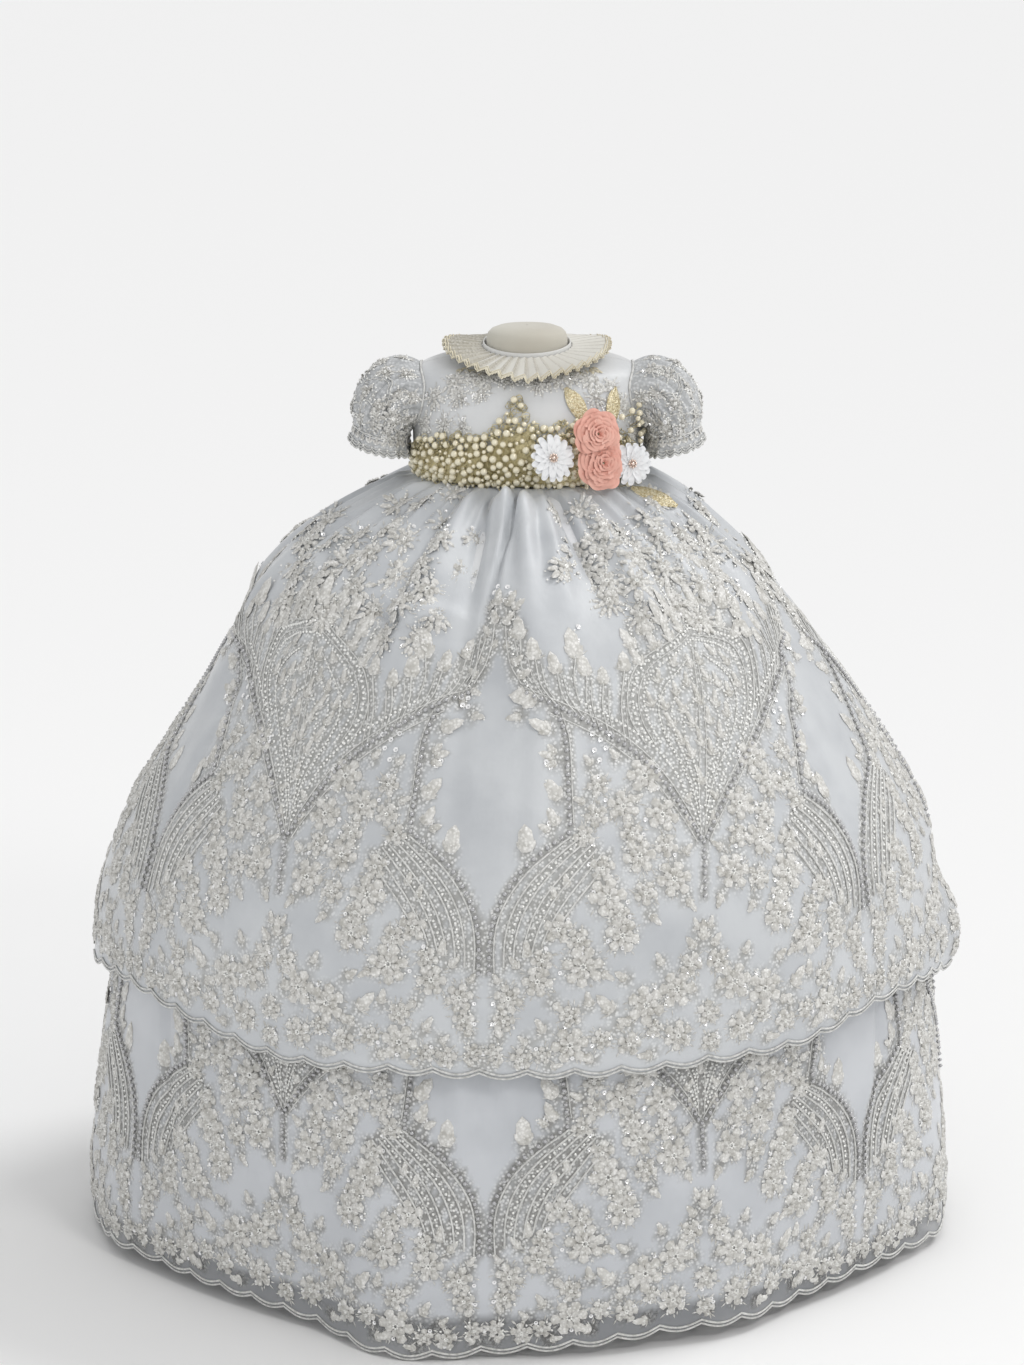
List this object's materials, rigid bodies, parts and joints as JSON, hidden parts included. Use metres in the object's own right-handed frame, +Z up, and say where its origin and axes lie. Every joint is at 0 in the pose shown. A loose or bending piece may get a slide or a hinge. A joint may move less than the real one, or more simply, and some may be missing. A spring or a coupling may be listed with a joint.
{
  "type": "christening gown on a dress form",
  "caption": "Long white satin and lace christening gown with a two-tier bell skirt, puff sleeves, pleated collar and a pearl and flower belt, on a limbless dress form.",
  "frame": {"origin": "middle of the flat underside of the form's round base", "axes": "+Z up; -Y is the gown's front; +X is the right of the picture, which is the wearer's left"},
  "size_m": [0.8529, 0.8233, 0.886],
  "materials": {
    "form_torso": "smooth cream jersey over a hard shell",
    "form_pole": "satin",
    "form_base": "satin",
    "neck_band": "white satin",
    "collar": "ivory pleated organza with a lace edge",
    "bodice_front": "white satin with beaded lace",
    "bodice_back_left": "white satin with beaded lace",
    "bodice_back_right": "white satin with beaded lace",
    "sleeve_left": "organza with beaded lace",
    "sleeve_right": "organza with beaded lace",
    "sleeve_frill_left": "scalloped lace",
    "sleeve_frill_right": "scalloped lace",
    "upper_skirt": "organza over satin with beaded lace",
    "lower_skirt": "organza over satin with beaded lace, sheer net edge",
    "lining_skirt": "white satin",
    "belt_band": "pale gold wired thread",
    "belt_pearls": "ivory and gold pearls",
    "rose_upper": "salmon pink chiffon",
    "rose_lower": "salmon pink chiffon",
    "daisy_left": "white cloth petals",
    "daisy_right": "white cloth petals",
    "daisy_left_stone": "cut glass and pearls in a metal cup",
    "daisy_right_stone": "cut glass and pearls in a metal cup",
    "gold_leaf_top": "gold lace",
    "gold_leaf_side": "gold lace",
    "gold_leaf_low": "gold lace",
    "back_button_1": "pearl white",
    "back_button_2": "pearl white",
    "back_button_3": "pearl white"
  },
  "bodies": {
    "root": {"form_torso": "form_torso", "form_pole": "form_pole", "form_base": "form_base", "neck_band": "neck_band", "collar": "collar", "bodice_front": "bodice_front", "bodice_back_left": "bodice_back_left", "bodice_back_right": "bodice_back_right", "sleeve_left": "sleeve_left", "sleeve_right": "sleeve_right", "sleeve_frill_left": "sleeve_frill_left", "sleeve_frill_right": "sleeve_frill_right", "upper_skirt": "upper_skirt", "lower_skirt": "lower_skirt", "lining_skirt": "lining_skirt", "belt_band": "belt_band", "belt_pearls": "belt_pearls", "rose_upper": "rose_upper", "rose_lower": "rose_lower", "daisy_left": "daisy_left", "daisy_right": "daisy_right", "daisy_left_stone": "daisy_left_stone", "daisy_right_stone": "daisy_right_stone", "gold_leaf_top": "gold_leaf_top", "gold_leaf_side": "gold_leaf_side", "gold_leaf_low": "gold_leaf_low", "back_button_1": "back_button_1", "back_button_2": "back_button_2", "back_button_3": "back_button_3"}
  },
  "joints": []
}
